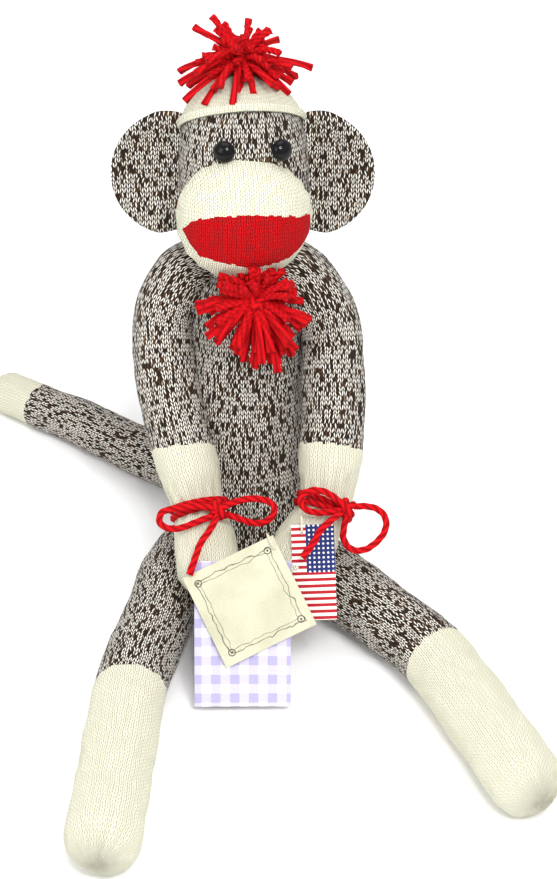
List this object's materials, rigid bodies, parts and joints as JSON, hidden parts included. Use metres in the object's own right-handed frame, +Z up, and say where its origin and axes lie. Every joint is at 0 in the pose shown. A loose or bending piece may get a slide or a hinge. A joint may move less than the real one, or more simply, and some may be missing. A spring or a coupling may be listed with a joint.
{
  "type": "stuffed sock monkey",
  "caption": "Seated knitted sock monkey with stuffed limbs, cap and neck pompoms, yarn wrist bows and hang tags; its neck, ears, arms, legs, tail and tags move.",
  "frame": {"origin": "centre of the flat seat under the torso, on the surface that the monkey sits on", "axes": "+Z up; the monkey faces -Y; +X is its own left"},
  "size_m": [0.3398, 0.4152, 0.3181],
  "materials": {
    "marl_knit": "knitted marl of brown and cream yarn",
    "cream_knit": "fine ribbed cream knit",
    "muzzle_knit": "cream knit with a red mouth knitted in",
    "red_yarn": "soft plied yarn",
    "stuffing": "polyester fibre",
    "sewing_thread": "cotton thread",
    "card_thread": "cotton thread",
    "eye_plastic": "polished black",
    "washer_plastic": "moulded white",
    "parchment_card": "matt card with a printed border",
    "gingham_card": "matt card printed with lavender checks",
    "woven_label": "woven satin label with dots and stripes"
  },
  "bodies": {
    "torso": {"neck_pompom": "red_yarn", "neck_pompom_knot": "red_yarn", "torso_cover": "marl_knit", "torso_stuffing": "stuffing"},
    "neck": {"neck_ball": "stuffing", "neck_thread": "sewing_thread"},
    "head": {"cap": "cream_knit", "hat_pompom": "red_yarn", "hat_pompom_knot": "red_yarn", "head_cover": "marl_knit", "head_stuffing": "stuffing", "left_eye": "eye_plastic", "left_eye_washer": "washer_plastic", "muzzle_cover": "muzzle_knit", "muzzle_stuffing": "stuffing", "right_eye": "eye_plastic", "right_eye_washer": "washer_plastic"},
    "left_ear": {"left_ear_cover": "marl_knit", "left_ear_stuffing": "stuffing"},
    "right_ear": {"right_ear_cover": "marl_knit", "right_ear_stuffing": "stuffing"},
    "left_arm": {"left_arm_cover": "marl_knit", "left_arm_stuffing": "stuffing", "left_bow_knot": "red_yarn", "left_bow_loop_a": "red_yarn", "left_bow_loop_b": "red_yarn", "left_bow_tail": "red_yarn", "left_wrist_tie": "red_yarn", "striped_label": "woven_label", "striped_label_thread": "card_thread"},
    "right_arm": {"right_arm_cover": "marl_knit", "right_arm_stuffing": "stuffing", "right_bow_knot": "red_yarn", "right_bow_loop_a": "red_yarn", "right_bow_loop_b": "red_yarn", "right_bow_tail": "red_yarn", "right_wrist_tie": "red_yarn"},
    "hang_cards": {"gingham_card": "gingham_card", "gingham_card_thread": "card_thread", "square_card": "parchment_card", "square_card_thread": "card_thread"},
    "left_leg": {"left_leg_cover": "marl_knit", "left_leg_stuffing": "stuffing"},
    "right_leg": {"right_leg_cover": "marl_knit", "right_leg_stuffing": "stuffing"},
    "tail": {"tail_cover": "marl_knit", "tail_stuffing": "stuffing"}
  },
  "joints": [
    {"name": "neck_nod", "type": "hinge", "parent": "torso", "child": "neck", "pos_m": [0, 0.05507, 0.18129], "axis": [1, 0, 0], "range_deg": [-12, 2]},
    {"name": "head_turn", "type": "hinge", "parent": "neck", "child": "head", "pos_m": [0, 0.05507, 0.18129], "axis": [0, 0.342, 0.9397], "range_deg": [-25, 25]},
    {"name": "left_ear_fold", "type": "hinge", "parent": "head", "child": "left_ear", "pos_m": [0.0423, 0.07148, 0.2264], "axis": [0, 0.342, 0.9397], "range_deg": [-20, 20], "stiffness_Nm_per_rad": 0.03},
    {"name": "right_ear_fold", "type": "hinge", "parent": "head", "child": "right_ear", "pos_m": [-0.0423, 0.07148, 0.2264], "axis": [0, 0.342, 0.9397], "range_deg": [-20, 20], "stiffness_Nm_per_rad": 0.03},
    {"name": "left_shoulder", "type": "hinge", "parent": "torso", "child": "left_arm", "pos_m": [0.052, 0.04754, 0.16062], "axis": [-1, 0, 0], "range_deg": [0, 85]},
    {"name": "right_shoulder", "type": "hinge", "parent": "torso", "child": "right_arm", "pos_m": [-0.052, 0.04754, 0.16062], "axis": [-1, 0, 0], "range_deg": [0, 85]},
    {"name": "cards_swing", "type": "hinge", "parent": "right_arm", "child": "hang_cards", "pos_m": [0.0005, -0.08319, 0.06799], "axis": [-1, 0, 0], "range_deg": [0, 30]},
    {"name": "left_hip", "type": "hinge", "parent": "torso", "child": "left_leg", "pos_m": [0.034, -0.02, 0.02], "axis": [1, 0, 0], "range_deg": [0, 60]},
    {"name": "right_hip", "type": "hinge", "parent": "torso", "child": "right_leg", "pos_m": [-0.034, -0.02, 0.02], "axis": [1, 0, 0], "range_deg": [0, 60]},
    {"name": "tail_swing", "type": "hinge", "parent": "torso", "child": "tail", "pos_m": [-0.016, 0.048, 0.0173], "axis": [0, 0, 1], "range_deg": [-110, 8]}
  ],
  "couplings": [
    {"joint": "left_shoulder", "follows": "right_shoulder", "ratio": 1}
  ]
}
